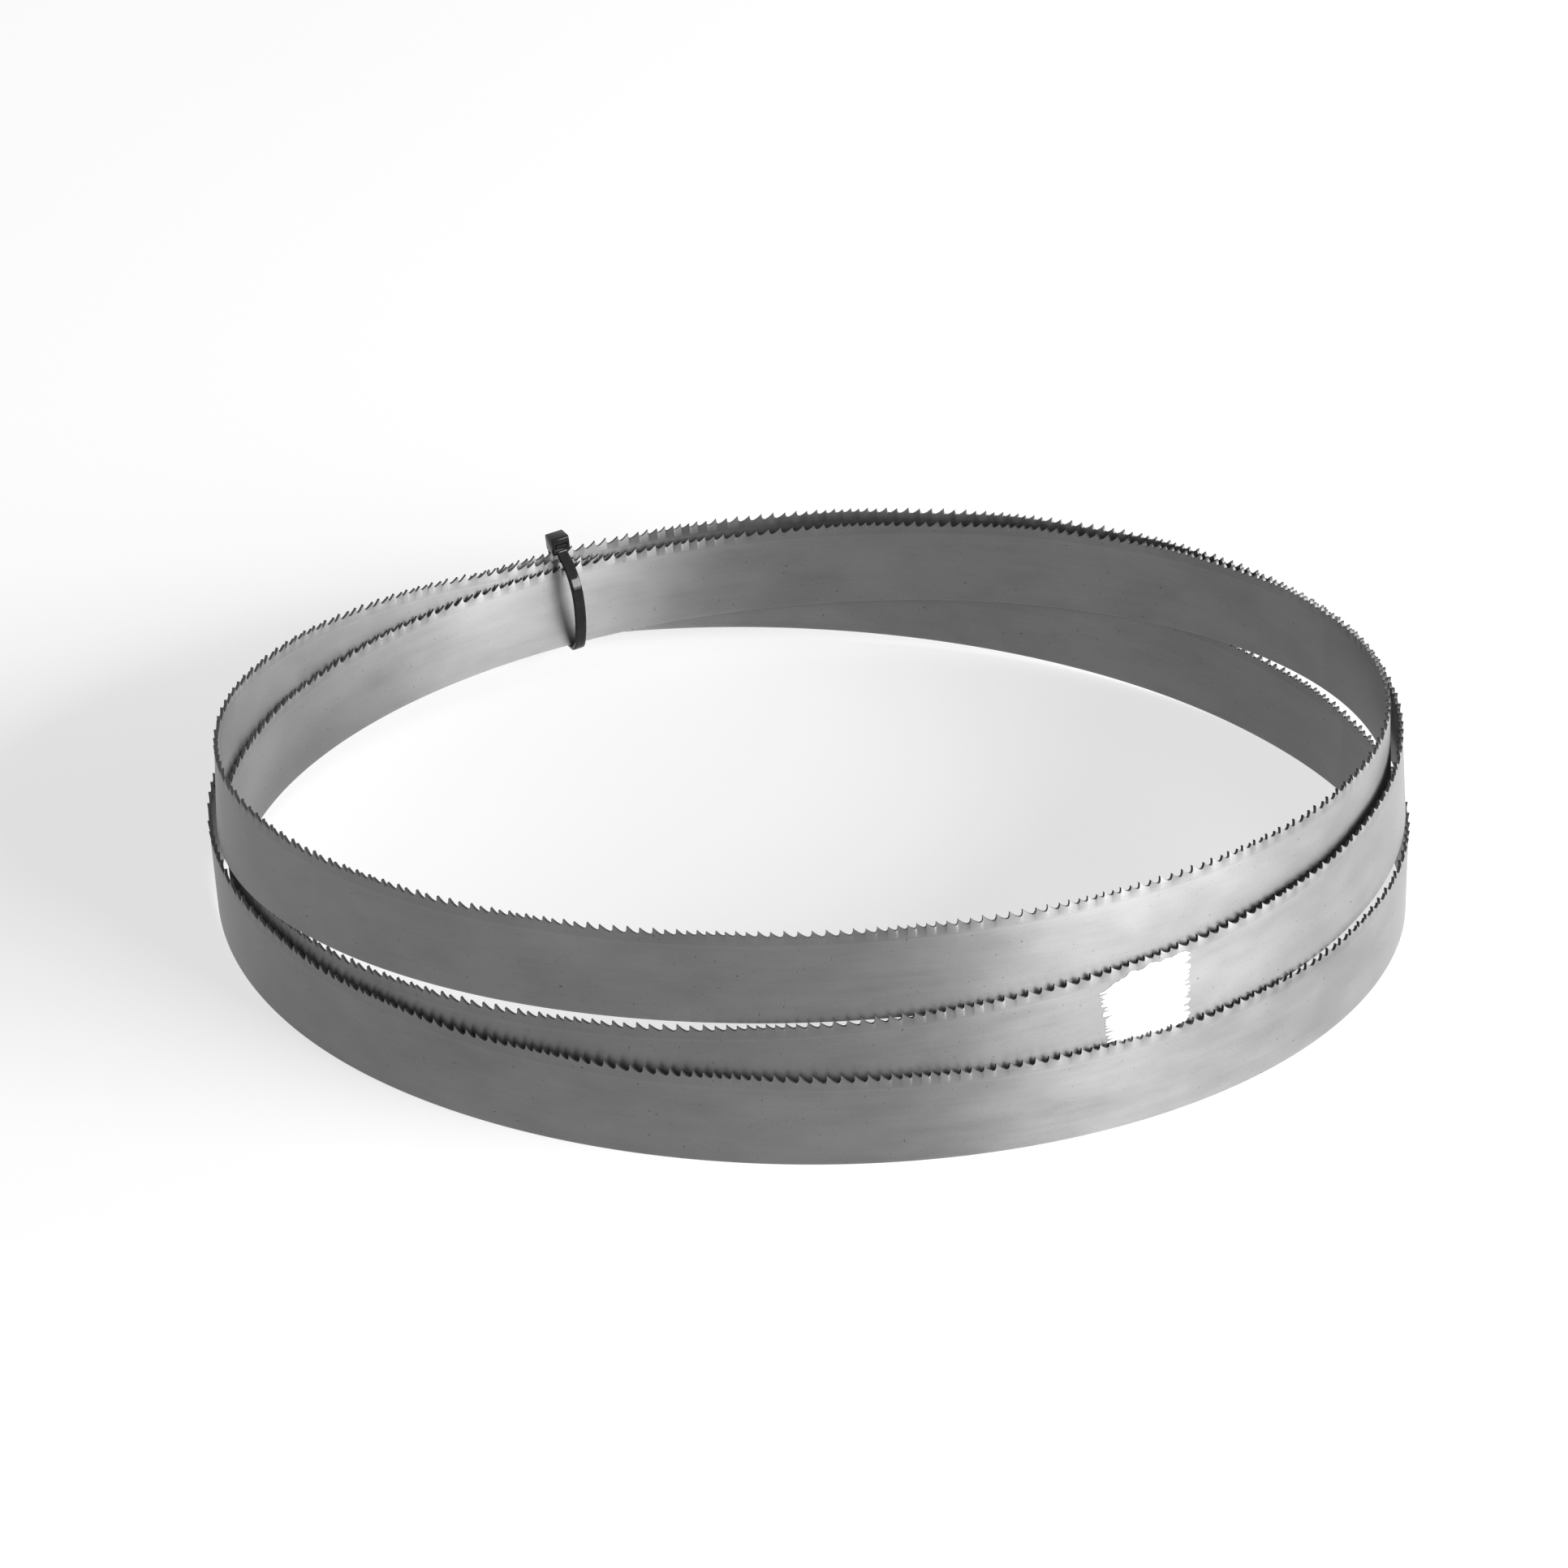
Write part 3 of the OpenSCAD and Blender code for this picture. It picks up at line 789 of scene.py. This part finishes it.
def makeHead(lines, nylon):
    s = tieSizes
    low, high = lines["headLow"], lines["headLow"] + s["headHeight"]
    near, far, window = lines["headIn"], lines["headOut"], lines["window"]
    c, flare, over = s["headChamfer"], s["windowFlare"], s["cutBeyond"]
    block = prism("headBlock", [
        (near + c, low), (far - c, low), (far, low + c), (far, high - c),
        (far - c, high), (near + c, high), (near, high - c), (near, low + c)], s["headWidth"] / 2)
    tall = s["strapThickness"] / 2 + s["windowGap"]
    opening = prism("headOpening", [
        (near - over, window - tall), (far - flare, window - tall), (far + over, window - tall - flare),
        (far + over, window + tall + flare), (far - flare, window + tall), (near - over, window + tall)],
        s["strapWidth"] / 2 + s["windowGap"])
    heel, ceiling = near + s["headLength"] * s["pawlHeel"], window + tall + s["pawlBite"]
    tip, tipHeight = near + s["headLength"] * s["pawlTip"], window + s["strapThickness"] / 2 - s["pawlBite"]
    pawl = prism("headPawl", [(heel, tipHeight), (tip, tipHeight), (far - c, ceiling), (heel, ceiling)],
                 s["pawlWidth"] / 2)
    joinShape(block, "window", "DIFFERENCE", opening)
    softened = block.modifiers.new("edges", "BEVEL")
    softened.width, softened.segments, softened.limit_method = s["edgeRound"] * mm, 2, "ANGLE"
    softened.angle_limit = math.radians(25)
    joinShape(block, "pawl", "UNION", pawl)
    head = plainPiece("tieHead", block, nylon, tieTurn(lines), 40)
    bpy.data.objects.remove(opening)
    bpy.data.objects.remove(pawl)
    return head


blackNylon = makeNylon()
tieShape = tieLines(tieSizes)
strap = makeStrap(tieShape, blackNylon)
head = makeHead(tieShape, blackNylon)
print("tie made", len(strap.data.polygons), len(head.data.polygons))

for piece, node, slot in ((band, "blade", "steel"), (label, "paper_label", "label_paper"),
                          (strap, "cable_tie", "nylon"), (head, "cable_tie", "nylon")):
    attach(piece, "root")
    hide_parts(node)


# Studio: a white floor that keeps a soft shadow, a large lamp at the right front, a low one at the right
studioSizes = {  # lengths in metres, power in watts
    "floorGlow": 0.71,
    "floorColour": (0.33, 0.33, 0.33, 1),
    "floorHalf": 6.0,
    "worldLevel": 0.06,
    "white": (1, 1, 1, 1),
    "aim": (0, 0, 0.02),
    "keyLamp": {"place": (3.6, -2.1, 1.3), "size": (3.8, 1.8), "power": 585.0},
    "sideLamp": {"place": (2.4, 0.9, 0.3), "size": (3.0, 0.8), "power": 110.0},
}


def seenRays(bench):  # the rays that see the white background
    camera = bench.add("ShaderNodeLightPath", out="Is Camera Ray")
    mirrored = bench.sums("MAXIMUM", camera, camera.also("Is Glossy Ray"))
    return bench.sums("MAXIMUM", mirrored, camera.also("Is Transmission Ray"))


def makeFloor():
    s = studioSizes
    material, b = newMaterial("whiteFloor")
    lit = b.add("ShaderNodeBsdfDiffuse", None, {"Color": s["floorColour"]})
    glow = b.add("ShaderNodeEmission", None, {"Color": s["white"], "Strength": s["floorGlow"]})
    bright = b.add("ShaderNodeAddShader", None, {0: lit, 1: glow})
    either = b.add("ShaderNodeMixShader", None, {0: seenRays(b), 1: lit, 2: bright})
    b.add("ShaderNodeOutputMaterial", None, {"Surface": either})
    mesh, half = bpy.data.meshes.new("floor"), s["floorHalf"]
    corners = [(-half, -half, 0), (half, -half, 0), (half, half, 0), (-half, half, 0)]
    mesh.from_pydata(corners, [], [(0, 1, 2, 3)])
    mesh.materials.append(material)
    return addToScene("floor", mesh)


def softLamp(name):
    s = studioSizes[name]
    lamp = bpy.data.lights.new(name, "AREA")
    lamp.shape, lamp.energy = "RECTANGLE", s["power"]
    lamp.size, lamp.size_y = s["size"]
    holder = addToScene(name, lamp)
    holder.location = s["place"]
    holder.rotation_mode = "QUATERNION"
    holder.rotation_quaternion = (Vector(studioSizes["aim"]) - Vector(s["place"])).to_track_quat("-Z", "Y")


def makeWorld():
    s = studioSizes
    world = bpy.data.worlds.new("studio")
    world.use_nodes = True
    world.node_tree.nodes.clear()
    b = Bench(world.node_tree)
    dim = b.add("ShaderNodeBackground", None, {"Color": s["white"], "Strength": s["worldLevel"]})
    white = b.add("ShaderNodeBackground", None, {"Color": s["white"], "Strength": 1.0})
    either = b.add("ShaderNodeMixShader", None, {0: seenRays(b), 1: dim, 2: white})
    b.add("ShaderNodeOutputWorld", None, {"Surface": either})
    bpy.context.scene.world = world


makeFloor()
softLamp("keyLamp")
softLamp("sideLamp")
makeWorld()

cameraSizes = {
    "elevation": 25.783,
    "distance": 1.97788,  # metres, as the target
    "target": (0.00084, -0.00023, 0.020),
    "roll": 0.185,
    "photoWidth": 1932,  # pixels, as the next two
    "focalPixels": 8247.6,
    "middlePixel": (998.0, 1010.7),  # where the lens points in the photograph
    "sensorWidth": 36,
}


def makeCamera():
    s = cameraSizes
    width, half, (column, row) = s["photoWidth"], s["photoWidth"] / 2, s["middlePixel"]
    camera = bpy.data.cameras.new("camera")
    camera.lens, camera.sensor_width = s["focalPixels"] / width * s["sensorWidth"], s["sensorWidth"]
    camera.shift_x, camera.shift_y = (half - column) / width, (row - half) / width
    holder = addToScene("camera", camera)
    rise = math.radians(s["elevation"])
    back = Vector((0, -math.cos(rise), math.sin(rise)))
    holder.location = Vector(s["target"]) + back * s["distance"]
    holder.rotation_mode = "QUATERNION"
    roll = Matrix.Rotation(-math.radians(s["roll"]), 3, "Z").to_quaternion()
    holder.rotation_quaternion = (-back).to_track_quat("-Z", "Y") @ roll
    bpy.context.scene.camera = holder


makeCamera()
bpy.context.scene.view_settings.view_transform = "Standard"
print("studio set")
